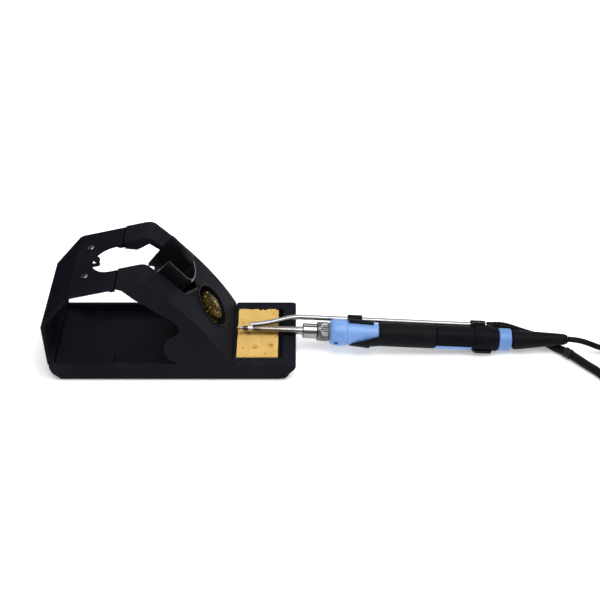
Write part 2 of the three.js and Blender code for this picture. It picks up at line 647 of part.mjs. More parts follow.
function rearClip() {
  const [x0, x1] = REAR_CLIP_X;
  const bore = BODY_R + GAP;
  const parts = clipSaddle(x0, x1, [bore, bore], [CLIP_R, CLIP_R], 168, [x0 - 1.4, 194.8]);
  const lug = box(x0 - 1.4, x0 + 8, -2.2, 2.2, 10.2, 12.6).applyMatrix4(
    new THREE.Matrix4().makeRotationX(-0.6));
  const foot = box(x0 + 1.6, x1, -1.5, 1.5, 10, 11.5).applyMatrix4(
    new THREE.Matrix4().makeRotationX(Math.PI - 0.65));
  const nozzle = rod(NOZZLE_X[0] - GAP, x1 + 1, NOZZLE_R + GAP, 20)
    .translate(0, ...tubeCentre(TUBE_OFF));
  return combine(parts.saddle, [parts.loop, lug, foot], [parts.handle, parts.tube, nozzle]);
}

function rubberGrip() {
  // A smooth sleeve whose tongue runs forward under the collar.
  const [x0, x1] = GRIP_X;
  const sleeve = turned([[x0, 7.45], [x0, 8.6], [x0 + 1.2, GRIP_R - 0.2], [x0 + 4, GRIP_R],
    [x1 - 0.6, GRIP_R], [x1, GRIP_R - 0.5], [x1, 7.45]], 40);
  const rounded = turned([[84, 0], [84, 9.4], [88, 10.2], [96, 10.9], [101.5, 11.5],
    [103.4, 11.5], [104.2, 10.3], [x0 + 3, 9.4], [x0 + 3, 0]], 40);
  return combine(sleeve, [common(tongueBlock(0), rounded)], [accentBlock(GAP)]);
}

function handleBody() {
  const [x0, x1] = BODY_X;
  const split = GRIP_X[1] + GAP;
  const shellBody = turned([
    [x0, 5.6], [x0, 7.1], [split, 7.1], [split, BODY_R - 0.5], [split + 0.6, BODY_R],
    [x1 - 0.8, BODY_R], [x1, BODY_R - 0.8], [x1, 5.6],
  ], 40);
  const recess = accentBlock(GAP);
  return combine(shellBody, [], [recess]);
}

function accentBlock(extra) {
  // The blue strip let into the underside of the handle, grown by extra for its recess.
  const half = 3 + extra;
  const [left, slant, right] = [152.4 - extra, 3.4, 183 + extra];
  return plate(outline([[left + slant, -half], [right, -half], [right, half], [left, half]]),
    -11.4, -8.2 + extra).applyMatrix4(new THREE.Matrix4().makeRotationX(-ACCENT_TURN));
}

function accentStrip() {
  const outer = BODY_R + 0.1;
  const rounded = turned([[150, 0], [150, outer], [190, outer], [190, 0]], 48);
  return common(accentBlock(0), rounded);
}

function heaterSocket() {
  return turned([[96, 1.95], [96, 3.4], [117, 3.4], [117, 0], [102, 0], [102, 1.95]], 20);
}

function handleBoard() {
  return box(121, 160, -4, 4, -0.8, 0.8);
}

function rearRing() {
  const [x0, x1] = RING_X;
  return turned([[x0, 4.8], [x0, RING_R - 0.5], [x0 + 0.5, RING_R], [x1 - 0.7, RING_R - 0.1],
    [x1, RING_R - 0.8], [x1, 4.8]], 40);
}

function fumeTube() {
  const path = [[10, 5, 96], [15, 5.1, 93], [24, 5.9, 87], [34, 8.6, 79], [41, 11.3, 76],
    [47, 12.55, TUBE_ANGLE], [53, TUBE_OFF, TUBE_ANGLE], [80, TUBE_OFF, TUBE_ANGLE],
    [TUBE_END, TUBE_OFF, TUBE_ANGLE]];
  const points = path.map(([x, off, angle]) => [x, ...tubeCentre(off, angle)]);
  const outer = along(points, TUBE_R, 14, 34);
  const inner = along([[9.2, ...tubeCentre(5, 96)], ...points,
    [TUBE_END + 1, ...tubeCentre(TUBE_OFF)]], TUBE_R - 0.5, 10, 34);
  return combine(outer, [], [inner]);
}

function hoseNozzle() {
  // A rubber sleeve over the tube's rear end; the fume hose leaves its far face.
  const [y, z] = tubeCentre(TUBE_OFF);
  const [x0, x1] = NOZZLE_X;
  return turned([
    [x0, TUBE_R + GAP], [x0, NOZZLE_R - 0.3], [x0 + 0.5, NOZZLE_R], [x1 - 2.6, NOZZLE_R],
    [x1 - 2.1, NOZZLE_R + 0.35], [x1, NOZZLE_R + 0.35], [x1, 1.6], [x1 - 1.4, 1.6],
    [x1 - 1.4, TUBE_R + GAP],
  ], 24).translate(0, y, z);
}

// ---- strain relief, bent a little off the axis ----
function strainRelief() {
  const [r0, r1] = RELIEF_R;
  return turned([
    [0, 0], [0, 5.2], [1.2, r0 - 0.3], [1.8, r0], [8, r0 - 0.3], [RELIEF_L - 3, r1 + 0.35],
    [RELIEF_L - 2.2, r1 + 0.35], [RELIEF_L - 2, r1 - 0.2], [RELIEF_L, r1 - 0.5], [RELIEF_L, 0],
  ], 32);
}

// ---- cords ----
function coilRing(coil, radius) {
  // One ring solid that stands for all the stacked turns.
  const top = coil.z + coil.turns * coil.pitch + radius;
  const [r0, r1] = [coil.r - radius, coil.r + radius];
  return new THREE.LatheGeometry([
    new THREE.Vector2(r0, 0.1), new THREE.Vector2(r1, 0.1), new THREE.Vector2(r1, top),
    new THREE.Vector2(r0, top), new THREE.Vector2(r0, 0.1),
  ], 36).rotateX(Math.PI / 2).translate(coil.x, coil.y, 0);
}

function cablePlug() {
  // A round plug: boot, body and coupling collar, with its pins set back inside.
  return turnedAbout([
    [0, 0], [0, 3.4], [11, 4.2], [11.5, 6], [28, 6.6], [28, 7.1], [40, 7.1], [40, 6], [32, 6],
    [32, 0],
  ], PLUG_END, PLUG_DIR, 28);
}

function plugInsert() {
  const body = turnedAbout([[32.3, 0], [32.3, 5.6], [35, 5.6], [35, 0]], PLUG_END, PLUG_DIR, 24);
  const pins = [];
  const count = 5;
  for (let i = 0; i < count; i++) {
    const angle = Math.PI * (0.1 + (1.8 * i) / count);
    pins.push(turnedAbout([[34, 0], [34, 0.6], [39.4, 0.6], [39.8, 0.3], [39.8, 0]],
      [PLUG_END[0] + PLUG_DIR[1] * 3.4 * Math.cos(angle),
        PLUG_END[1] - PLUG_DIR[0] * 3.4 * Math.cos(angle),
        PLUG_END[2] + 3.4 * Math.sin(angle)], PLUG_DIR, 8));
  }
  return combine(body, pins, []);
}

function hoseFitting() {
  return turnedAbout([
    [0, 2.2], [0, 4.6], [1, 5.2], [14, 5.6], [14, 6.9], [24, 6.9], [26, 6.2], [30, 6.2], [30, 4],
    [12, 4], [12, 2.2],
  ], FITTING_END, FITTING_DIR, 28);
}

function hoseClip() {
  // A split black sleeve on the hose where it comes out under the cable.
  const [inner, outer, half] = [HOSE_R + GAP, HOSE_R + 0.7, 2.7];
  return turnedAbout([[-half, inner], [-half, outer], [half, outer], [half, inner]],
    HOSE_CLIP_AT, HOSE_CLIP_DIR, 24);
}

// ---- assembly ----
const stand = new THREE.Group();
stand.name = 'stand';
stand.add(named('rubber_pad', rubberPad(), BLACK_RUBBER));
stand.add(named('base_tray', baseTray(), BLACK_PLASTIC));
stand.add(named('ballast_plate', ballastPlate(), DARK_STEEL));
stand.add(named('arch_band', archBand(), BLACK_PLASTIC));
stand.add(named('holder_shell', holderShell(), BLACK_PLASTIC));
stand.add(named('rest_bracket', restBracket(), BLACK_PLASTIC));
stand.add(named('arch_screw_front', archScrew(-SCREW_Y), CHROME));
stand.add(named('arch_screw_rear', archScrew(SCREW_Y), CHROME));
stand.add(named('holder_funnel', holderFunnel(), BLACK_PLASTIC));
stand.add(named('wool_cup', woolCup(), BLACK_PLASTIC));
stand.add(named('brass_wool', brassWool(), BRASS));
stand.add(named('sponge_tray', spongeTray(), BLACK_PLASTIC));
stand.add(named('sponge', sponge(), SPONGE_YELLOW));

const iron = new THREE.Group();
iron.name = 'iron';
iron.position.set(...IRON_TIP);
iron.rotation.y = THREE.MathUtils.degToRad(IRON_DROP);
iron.add(named('soldering_tip', solderingTip(), STEEL));
iron.add(named('barrel_tube', barrelTube(), STEEL));
iron.add(named('heater_element', heaterElement(), CERAMIC));
iron.add(named('heater_socket', heaterSocket(), CERAMIC));
iron.add(named('barrel_sleeve', barrelSleeve(), CHROME));
iron.add(named('knurled_nut', knurledNut(), STEEL));
iron.add(named('nose_collar', noseCollar(), BLUE_PLASTIC));
iron.add(named('front_clip', frontClip(), BLACK_PLASTIC));
iron.add(named('rubber_grip', rubberGrip(), BLACK_RUBBER));
iron.add(named('handle_body', handleBody(), BLACK_PLASTIC));
iron.add(named('handle_board', handleBoard(), BOARD_GREEN));
iron.add(named('accent_strip', accentStrip(), BLUE_PLASTIC));
iron.add(named('rear_clip', rearClip(), BLACK_PLASTIC));
iron.add(named('rear_ring', rearRing(), BLUE_PLASTIC));
iron.add(named('fume_tube', fumeTube(), STEEL));
iron.add(named('hose_nozzle', hoseNozzle(), BLACK_RUBBER));

const relief = named('strain_relief', strainRelief(), BLACK_RUBBER);
relief.position.set(RING_X[1] + 3 * GAP, 0, 0);
relief.rotation.order = 'ZYX';
relief.rotation.y = THREE.MathUtils.degToRad(-IRON_DROP - 4.4);
relief.rotation.z = THREE.MathUtils.degToRad(-4.2);
iron.add(relief);

const cords = new THREE.Group();
cords.name = 'cords';
cords.add(named('cable_run', along(CABLE_RUN, CABLE_R, 10, 12), BLACK_SHEATH));
cords.add(named('cable_coil', coilRing(CABLE_COIL, CABLE_R), BLACK_SHEATH));
cords.add(named('cable_tail', along(CABLE_TAIL, CABLE_R, 10, 10), BLACK_SHEATH));
cords.add(named('cable_plug', cablePlug(), BLACK_RUBBER));
cords.add(named('plug_insert', plugInsert(), STEEL));
cords.add(named('hose_clip', hoseClip(), BLACK_RUBBER));
cords.add(named('hose_run', along(HOSE_RUN, HOSE_R, 12, 22), BLACK_SHEATH));
cords.add(named('hose_coil', coilRing(HOSE_COIL, HOSE_R), BLACK_SHEATH));
cords.add(named('hose_tail', along(HOSE_TAIL, HOSE_R, 12, 10), BLACK_SHEATH));
cords.add(named('hose_fitting', hoseFitting(), BLACK_RUBBER));

const group = new THREE.Group();
group.name = 'soldering_iron_station';
group.add(stand, iron, cords);

export default group;
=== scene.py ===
"""Looks of the soldering iron station.

Materials, brass wool, sponge, knurled nut, fume tube, cords, light and camera.
Everything is in metres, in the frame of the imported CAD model.
"""

import json
import math
import random

import bpy
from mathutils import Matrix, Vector, kdtree, noise


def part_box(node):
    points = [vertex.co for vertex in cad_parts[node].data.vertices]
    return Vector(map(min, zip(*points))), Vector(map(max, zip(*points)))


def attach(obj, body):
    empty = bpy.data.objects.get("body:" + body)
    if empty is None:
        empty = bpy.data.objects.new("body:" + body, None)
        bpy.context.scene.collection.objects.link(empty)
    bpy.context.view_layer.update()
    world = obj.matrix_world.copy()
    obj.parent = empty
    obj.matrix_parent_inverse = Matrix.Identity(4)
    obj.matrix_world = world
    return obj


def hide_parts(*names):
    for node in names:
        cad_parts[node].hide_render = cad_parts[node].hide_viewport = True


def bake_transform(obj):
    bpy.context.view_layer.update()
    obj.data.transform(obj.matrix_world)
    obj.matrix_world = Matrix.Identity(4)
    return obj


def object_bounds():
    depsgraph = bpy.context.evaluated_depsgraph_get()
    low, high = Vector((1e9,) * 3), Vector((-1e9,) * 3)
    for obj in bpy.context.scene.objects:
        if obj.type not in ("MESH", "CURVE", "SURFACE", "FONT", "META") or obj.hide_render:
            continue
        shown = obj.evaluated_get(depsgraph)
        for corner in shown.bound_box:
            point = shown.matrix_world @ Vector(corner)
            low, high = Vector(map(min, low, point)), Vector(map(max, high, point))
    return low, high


MM = 0.001

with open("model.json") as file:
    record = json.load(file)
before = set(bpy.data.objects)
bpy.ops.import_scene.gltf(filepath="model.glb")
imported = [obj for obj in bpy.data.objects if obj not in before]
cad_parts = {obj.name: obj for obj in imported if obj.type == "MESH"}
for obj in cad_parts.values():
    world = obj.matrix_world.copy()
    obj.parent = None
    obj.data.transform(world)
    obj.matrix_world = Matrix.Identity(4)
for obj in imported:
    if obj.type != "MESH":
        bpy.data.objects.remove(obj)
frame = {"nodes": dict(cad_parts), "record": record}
CAD_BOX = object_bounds()


# ---------------------------------------------------------------- the iron's own frame
JOINTS = {joint["name"]: joint for joint in frame["record"]["behaviour"]["joints"]}
AXIS = Vector(JOINTS["tube_slide"]["axis"]).normalized()
NUT_X = 0.066                     # distance of the nut joint's point from the tip's end
TIP = Vector(JOINTS["nut_turn"]["pos_m"]) - AXIS * NUT_X
SIDE = Vector((0, 1, 0))
UP = AXIS.cross(SIDE)


def on_iron(x, y, z):
    """A point given along the iron's axis, to the back and up, in mm from the tip."""
    return TIP + AXIS * (x * MM) + SIDE * (y * MM) + UP * (z * MM)


# ---------------------------------------------------------------- mesh helpers
def link(name, data):
    obj = bpy.data.objects.new(name, data)
    bpy.context.scene.collection.objects.link(obj)
    return obj


def new_piece(name, verts, faces, material, smooth=True):
    mesh = bpy.data.meshes.new(name)
    mesh.from_pydata([tuple(v) for v in verts], [], faces)
    mesh.validate()
    mesh.polygons.foreach_set("use_smooth", [smooth] * len(mesh.polygons))
    mesh.materials.append(material)
    return link(name, mesh)


def join_parts(parts):
    """Puts several (verts, faces) lists into one."""
    verts, faces = [], []
    for part_verts, part_faces in parts:
        start = len(verts)
        verts.extend(part_verts)
        faces.extend([tuple(i + start for i in face) for face in part_faces])
    return verts, faces


def smooth_line(points, step):
    """A centripetal Catmull-Rom curve through the points, sampled about every step."""
    pts = [Vector(p) for p in points]
    pts = [pts[0] * 2 - pts[1], *pts, pts[-1] * 2 - pts[-2]]
    line = []
    for p0, p1, p2, p3 in zip(pts, pts[1:], pts[2:], pts[3:]):
        knots = [0.0]
        for a, b in ((p0, p1), (p1, p2), (p2, p3)):
            knots.append(knots[-1] + math.sqrt((b - a).length))
        count = max(1, round((p2 - p1).length / step))
        for i in range(count):
            t = knots[1] + (knots[2] - knots[1]) * i / count
            line.append(knot_blend([p0, p1, p2, p3], knots, t))
    line.append(pts[-2])
    return line


def knot_blend(p, k, t):
    """The Barry-Goldman form of a Catmull-Rom segment."""
    rows = list(p)
    for depth in range(1, 4):
        nxt = []
        for i in range(4 - depth):
            lo, hi = k[i], k[i + depth]
            if depth == 3:
                lo, hi = k[1], k[2]
            elif depth == 2:
                lo, hi = (k[0], k[2]) if i == 0 else (k[1], k[3])
            share = (t - lo) / (hi - lo)
            nxt.append(rows[i].lerp(rows[i + 1], share))
        rows = nxt
    return rows[0]


def rings_along(line):
    """A frame (point, u, v) at each point of the line, turned as little as possible."""
    frames = []
    u = None
    for i, p in enumerate(line):
        before, after = line[max(i - 1, 0)], line[min(i + 1, len(line) - 1)]
        along = (after - before).normalized()
        if u is None:
            u = along.cross(Vector((0, 0, 1))).normalized()
        u = (u - along * u.dot(along)).normalized()
        frames.append((p, u, along.cross(u)))
    return frames


def tube(line, radius, sides):
    """A round tube along the line, closed with flat ends."""
    verts, faces = [], []
    frames = rings_along(line)
    for p, u, v in frames:
        for s in range(sides):
            angle = 2 * math.pi * s / sides
            verts.append(p + u * (radius * math.cos(angle)) + v * (radius * math.sin(angle)))
    for i in range(len(line) - 1):
        for s in range(sides):
            a, b = i * sides + s, i * sides + (s + 1) % sides
            faces.append((a, b, b + sides, a + sides))
    faces.append(tuple(reversed(range(sides))))
    faces.append(tuple(range((len(line) - 1) * sides, len(line) * sides)))
    return verts, faces


def ring_quads(rows, sides):
    """The quads between the rings of a closed profile that is turned about an axis."""
    quads = []
    for k in range(rows):
        for s in range(sides):
            a, b = k * sides + s, k * sides + (s + 1) % sides
            c, d = ((k + 1) % rows) * sides + (s + 1) % sides, ((k + 1) % rows) * sides + s
            quads.append((a, b, c, d))
    return quads


def pipe(line, outer, inner, sides):
    """A hollow tube along the line, open at both ends, as one closed wall."""
    frames = rings_along(line)
    verts, faces = [], []
    for radius in (outer, inner):
        for p, u, v in frames:
            for s in range(sides):
                angle = 2 * math.pi * s / sides
                verts.append(p + u * (radius * math.cos(angle)) + v * (radius * math.sin(angle)))
    count, far = len(frames), len(frames) * sides
    for i in range(count - 1):
        for s in range(sides):
            a, b = i * sides + s, i * sides + (s + 1) % sides
            faces.append((a, b, b + sides, a + sides))
            faces.append((far + b, far + a, far + a + sides, far + b + sides))
    last = (count - 1) * sides
    for s in range(sides):
        n = (s + 1) % sides
        faces.append((n, s, far + s, far + n))
        faces.append((last + s, last + n, far + last + n, far + last + s))
    return verts, faces


# ---------------------------------------------------------------- material helpers
class Nodes:
    """A short way to write a node material."""

    def __init__(self, name):
        self.material = bpy.data.materials.new(name)
        self.material.use_nodes = True
        self.tree = self.material.node_tree
        self.shader = next(n for n in self.tree.nodes if n.type == "BSDF_PRINCIPLED")
        coords = self.tree.nodes.new("ShaderNodeTexCoord")
        self.place = coords.outputs["Object"]

    def node(self, kind, inputs=None, **settings):
        node = self.tree.nodes.new(kind)
        for key, value in settings.items():
            setattr(node, key, value)
        for key, value in (inputs or {}).items():
            self.plug(value, node.inputs[key])
        return node

    def plug(self, value, socket):
        if isinstance(value, bpy.types.NodeSocket):
            self.tree.links.new(value, socket)
        else:
            socket.default_value = value

    def noise(self, scale, detail=3, roughness=0.5, place=None):
        node = self.node("ShaderNodeTexNoise", {
            "Vector": place or self.place, "Scale": scale, "Detail": detail,
            "Roughness": roughness})
        return node.outputs["Fac"]

    def cells(self, scale):
        """The distance to the nearest of some scattered points."""
        node = self.node("ShaderNodeTexVoronoi", {"Vector": self.place, "Scale": scale})
        return node.outputs["Distance"]

    def along_x(self):
        """The place along X in metres, which is close to the iron's own direction."""
        return self.node("ShaderNodeSeparateXYZ", {"Vector": self.place}).outputs["X"]

    def stretched(self, scale, rotation=(0, 0, 0)):
        node = self.node("ShaderNodeMapping", {
            "Vector": self.place, "Scale": scale, "Rotation": rotation})
        return node.outputs["Vector"]

    def ramp(self, value, low, high, out_low=0.0, out_high=1.0):
        node = self.node("ShaderNodeMapRange", {
            "Value": value, "From Min": low, "From Max": high,
            "To Min": out_low, "To Max": out_high})
        return node.outputs["Result"]

    def math(self, kind, a, b=0.5):
        node = self.node("ShaderNodeMath", {0: a, 1: b}, operation=kind)
        return node.outputs[0]

    def mix(self, factor, a, b):
        node = self.tree.nodes.new("ShaderNodeMix")
        node.data_type = "RGBA"
        self.plug(factor, node.inputs[0])
        self.plug(a, node.inputs[6])
        self.plug(b, node.inputs[7])
        return node.outputs[2]

    def bump(self, layers):
        """layers is a list of (height, distance in metres, strength)."""
        normal = None
        for height, distance, strength in layers:
            node = self.node("ShaderNodeBump", {
                "Height": height, "Distance": distance, "Strength": strength})
            if normal is not None:
                self.plug(normal, node.inputs["Normal"])
            normal = node.outputs["Normal"]
        self.plug(normal, self.shader.inputs["Normal"])

    def edges(self, radius):
        """1 on edges sharper than the radius, 0 on flat surfaces."""
        bevel = self.node("ShaderNodeBevel", {"Radius": radius}, samples=4)
        geometry = self.node("ShaderNodeNewGeometry")
        dot = self.node("ShaderNodeVectorMath", {
            0: bevel.outputs["Normal"], 1: geometry.outputs["Normal"]}, operation="DOT_PRODUCT")
        return self.ramp(dot.outputs["Value"], 0.995, 0.86)

    def set(self, **values):
        for key, value in values.items():
            self.plug(value, self.shader.inputs[key.replace("_", " ")])
        return self.material


def colour(red, green, blue):
    """A colour given as it looks on a screen, 0 to 255, made linear."""
    def linear(c):
        c /= 255
        return c / 12.92 if c <= 0.04045 else ((c + 0.055) / 1.055) ** 2.4
    return (linear(red), linear(green), linear(blue), 1.0)


SEAM_X = -35.65 * MM              # where the arch band meets the holder shell
SEAM_LOW = 78 * MM


def moulded_black(name, base, light, roughness, grain=0.00002, shine=0.2, seam=False):
    """Black moulded plastic: spark-eroded grain, faint haze and shiny rubbed edges."""
    m = Nodes(name)
    haze = m.noise(22, detail=5, roughness=0.6)
    dust = m.ramp(m.noise(900, detail=2), 0.66, 0.78)
    tint = m.mix(m.ramp(haze, 0.35, 0.7), base, light)
    tint = m.mix(m.math("MULTIPLY", dust, 0.05), tint, colour(120, 122, 128))
    worn = m.math("MULTIPLY", m.edges(0.0007), m.ramp(m.noise(120, detail=4), 0.35, 0.75))
    tint = m.mix(m.math("MULTIPLY", worn, 0.35), tint, colour(74, 77, 86))
    if seam:
        x, _, z = m.node("ShaderNodeSeparateXYZ", {"Vector": m.place}).outputs
        away = m.math("ABSOLUTE", m.math("SUBTRACT", x, SEAM_X))
        shade = m.math("MULTIPLY", m.ramp(away, 0.0004, 0.0009, 1.0, 0.0),
                       m.ramp(z, SEAM_LOW, SEAM_LOW + MM))
        tint = m.mix(shade, tint, colour(2, 2, 3))
    scratch_place = m.stretched((60, 900, 400), (0.2, 0.3, 0.6))
    scratch = m.ramp(m.noise(1.0, detail=2, place=scratch_place), 0.70, 0.76)
    rough = m.ramp(haze, 0.3, 0.7, roughness - 0.05, roughness + 0.07)
    rough = m.math("SUBTRACT", rough, m.math("MULTIPLY", worn, 0.1))
    rough = m.math("ADD", rough, m.math("MULTIPLY", scratch, 0.1))
    m.bump([(m.noise(3800, detail=2), grain, 0.55), (m.noise(35, detail=1), 0.0002, 0.15),
            (scratch, 0.00001, 0.3)])
    return m.set(Base_Color=tint, Roughness=rough, Specular_IOR_Level=shine)


def rubber_black(name, base, roughness, along=False):
    """Black rubber or soft sheath, a little dusty, with a fine skin."""
    m = Nodes(name)
    haze = m.noise(60, detail=5, roughness=0.65)
    tint = m.mix(m.ramp(haze, 0.35, 0.7), base, colour(18, 19, 22))
    specks = m.ramp(m.noise(1600, detail=1), 0.72, 0.8)
    tint = m.mix(m.math("MULTIPLY", specks, 0.10), tint, colour(120, 120, 122))
    rough = m.ramp(haze, 0.3, 0.7, roughness - 0.08, roughness + 0.08)
    wave = (m.noise(180, detail=2), 0.00012 if along else 0.00006, 0.35)
    m.bump([(m.noise(5200, detail=2), 0.000012, 0.5), wave])
    return m.set(Base_Color=tint, Roughness=rough, Specular_IOR_Level=0.05)


def blue_plastic(name, base, light):
    """Light blue moulded plastic, a little translucent, greyer where fingers rub it."""
    m = Nodes(name)
    haze = m.noise(70, detail=4, roughness=0.6)
    tint = m.mix(m.ramp(haze, 0.3, 0.75), base, light)
    grime = m.math("MULTIPLY", m.edges(0.0009), m.ramp(m.noise(260, detail=4), 0.3, 0.7))
    tint = m.mix(m.math("MULTIPLY", grime, 0.35), tint, colour(92, 128, 172))
    speck = m.ramp(m.noise(700, detail=2), 0.70, 0.77)
    tint = m.mix(m.math("MULTIPLY", speck, 0.18), tint, colour(70, 92, 120))
    rough = m.ramp(haze, 0.3, 0.7, 0.34, 0.46)
    m.bump([(m.noise(3000, detail=2), 0.000015, 0.5), (m.noise(60, detail=1), 0.0002, 0.12)])
    return m.set(Base_Color=tint, Roughness=rough, Subsurface_Weight=0.06,
                 Subsurface_Radius=(0.0008, 0.0010, 0.0014), Specular_IOR_Level=0.5)


def turned_metal(name, base, roughness, lines=(1, 1, 1), line_depth=0.000004, stain=None):
    """Bare metal with drawn or turned lines, fine scratches and a light tarnish."""
    m = Nodes(name)
    cloud = m.noise(130, detail=5, roughness=0.6)
    tint = m.mix(m.ramp(cloud, 0.35, 0.75), base, stain or [c * 0.8 for c in base[:3]] + [1.0])
    fine = m.noise(1.0, detail=3, place=m.stretched(lines))
    rough = m.math("ADD", m.ramp(cloud, 0.3, 0.7, roughness, roughness + 0.12),
                   m.ramp(fine, 0.3, 0.7, -0.04, 0.05))
    m.bump([(fine, line_depth, 0.6), (m.noise(260, detail=2), 0.00004, 0.25)])
    return m.set(Base_Color=tint, Metallic=1.0, Roughness=rough)


def barrel_steel():
    """Stainless barrel: straw and dark brown heat tint towards the tip."""
    m = Nodes("barrel_steel")
    heat = m.along_x()
    warm_end, cool_end = on_iron(13, 0, 0).x, on_iron(40, 0, 0).x
    wobble = m.ramp(m.noise(240, detail=3), 0, 1, -0.003, 0.003)
    share = m.ramp(m.math("ADD", heat, wobble), warm_end, cool_end)
    cloud = m.noise(150, detail=5)
    steel = m.mix(m.ramp(cloud, 0.35, 0.7), colour(140, 140, 142), colour(118, 116, 112))
    straw = m.mix(m.ramp(share, 0.0, 0.35), colour(82, 74, 68), colour(132, 118, 98))
    tint = m.mix(m.ramp(share, 0.15, 1.0), straw, steel)
    fine = m.noise(1.0, detail=3, place=m.stretched((5200, 180, 180)))
    rough = m.math("ADD", m.ramp(cloud, 0.3, 0.7, 0.2, 0.3), m.ramp(fine, 0.3, 0.7, -0.04, 0.05))
    m.bump([(fine, 0.000004, 0.6)])
    return m.set(Base_Color=tint, Metallic=1.0, Roughness=rough)


def tinned_tip():
    """Tip: bright solder on the bevel, a dark oxidised band, then a dull iron shank."""
    m = Nodes("tinned_tip")
    wobble = m.ramp(m.noise(900, detail=3), 0, 1, -0.0007, 0.0007)
    where = m.math("ADD", m.along_x(), wobble)
    solder_end = on_iron(4.6, 0, 0).x
    band_end = on_iron(8.3, 0, 0).x
    cloud = m.noise(900, detail=4)
    solder = m.mix(m.ramp(cloud, 0.4, 0.7), colour(226, 226, 230), colour(170, 168, 172))
    dark = m.mix(m.ramp(cloud, 0.4, 0.7), colour(58, 52, 50), colour(92, 82, 74))
    shank = m.mix(m.ramp(cloud, 0.4, 0.7), colour(190, 188, 186), colour(150, 146, 142))
    soldered = m.ramp(where, solder_end - 0.0004, solder_end + 0.0004)
    shanked = m.ramp(where, band_end - 0.0003, band_end + 0.0003)
    tint = m.mix(shanked, m.mix(soldered, solder, dark), shank)
    rough = m.ramp(cloud, 0.3, 0.7, 0.2, 0.42)
    m.bump([(m.noise(1500, detail=3), 0.00006, 0.5)])
    return m.set(Base_Color=tint, Metallic=1.0, Roughness=rough)


def brass_strand():
    """Springy brass swarf with a patchy lighter and darker tone and some dull turns; the darkened
    turns are partly burnt brass and partly painted shade between the strands.
    """
    m = Nodes("brass_strand")
    cloud = m.noise(260, detail=3)
    tint = m.mix(m.ramp(cloud, 0.35, 0.65), colour(176, 150, 72), colour(108, 86, 36))
    # Darker turns: partly burnt brass, partly painted shade for the dark depths of the nest.
    burn_and_shade = m.ramp(m.noise(420, detail=3), 0.40, 0.56)
    tint = m.mix(m.math("MULTIPLY", burn_and_shade, 0.85), tint, colour(52, 44, 20))
    m.bump([(m.noise(5000, detail=1), 0.00001, 0.5)])
    return m.set(Base_Color=tint, Metallic=1.0, Roughness=m.ramp(cloud, 0.3, 0.7, 0.2, 0.36))


def sponge_cellulose():
    """Damp yellow cellulose: open pores and pits with painted shade in them, a stripe under the
    barrel that is partly real scorch and partly a painted shadow of the barrel, solder stains.
    """
    m = Nodes("sponge_cellulose")
    pores = m.cells(1500)
    big_pores = m.cells(430)
    cloud = m.noise(85, detail=5, roughness=0.6)
    tint = m.mix(m.ramp(cloud, 0.3, 0.72), colour(212, 178, 106), colour(200, 162, 88))
    # Painted shade: the deeper the pit, the darker.
    depth = m.node("ShaderNodeAttribute", attribute_name="pit").outputs["Fac"]
    tint = m.mix(m.ramp(depth, 0.05, 0.9, 0.0, 0.55), tint, colour(160, 110, 48))
    # Painted shade: darker towards the middle of each pore.
    tint = m.mix(m.ramp(pores, 0.32, 0.1, 0.0, 0.16), tint, colour(172, 126, 62))
    # The stripe is partly real scorch and partly a painted shadow of the barrel; the round stains
    # are real solder stains.
    stain_and_shadow = m.node("ShaderNodeAttribute", attribute_name="stain_and_shadow").outputs["Fac"]
    patchy = m.math("MULTIPLY", stain_and_shadow, m.ramp(m.noise(420, detail=4), 0.28, 0.62, 0.35, 1.0))
    tint = m.mix(patchy, tint, colour(150, 84, 30))
    m.bump([(pores, 0.00025, 0.8), (big_pores, 0.0004, 0.5),
            (m.noise(4200, detail=2), 0.00005, 0.6)])
    return m.set(Base_Color=tint, Roughness=0.92, Subsurface_Weight=0.08,
                 Subsurface_Radius=(0.002, 0.0012, 0.0006), Specular_IOR_Level=0.25)


def plain_solid(name, base, roughness, metallic=0.0):
    """For the pieces inside the handle and the base."""
    m = Nodes(name)
    cloud = m.noise(300, detail=3)
    tint = m.mix(m.ramp(cloud, 0.3, 0.7), base, [c * 0.8 for c in base[:3]] + [1.0])
    m.bump([(m.noise(2500, detail=2), 0.00002, 0.4)])
    return m.set(Base_Color=tint, Metallic=metallic,
                 Roughness=m.ramp(cloud, 0.3, 0.7, roughness - 0.05, roughness + 0.05))


FLOOR_GLOW = 0.3                  # painted glow: the floor gives off light though it is no lamp, which keeps the shadows light


def pale_floor():
    m = Nodes("pale_floor")
    cloud = m.noise(1.5, detail=3)
    tint = m.mix(m.ramp(cloud, 0.3, 0.7), colour(247, 247, 248), colour(250, 250, 250))
    m.bump([(m.noise(700, detail=2), 0.00003, 0.2)])
    # The emission is a painted glow that lifts the shadows and lights the parts from below.
    return m.set(Base_Color=tint, Roughness=0.75, Specular_IOR_Level=0.2,
                 Emission_Color=(1.0, 1.0, 1.0, 1.0), Emission_Strength=FLOOR_GLOW)


# ---------------------------------------------------------------- CAD nodes
def smooth_faces_group():
    """Geometry nodes that shade every face smooth."""
    group = bpy.data.node_groups.new("smooth_faces", "GeometryNodeTree")
    group.interface.new_socket("Geometry", in_out="INPUT", socket_type="NodeSocketGeometry")
    group.interface.new_socket("Geometry", in_out="OUTPUT", socket_type="NodeSocketGeometry")
    start = group.nodes.new("NodeGroupInput")
    smooth = group.nodes.new("GeometryNodeSetShadeSmooth")
    end = group.nodes.new("NodeGroupOutput")
    group.links.new(start.outputs[0], smooth.inputs["Geometry"])
    group.links.new(smooth.outputs[0], end.inputs[0])
    return group


SMOOTH_FACES = smooth_faces_group()


WELD_GAP = 0.02 * MM
FLAT_ANGLE = 0.6                  # degrees: flatter joins than this become one face
EDGE_ANGLE = 28                   # degrees: sharper joins than this are rounded


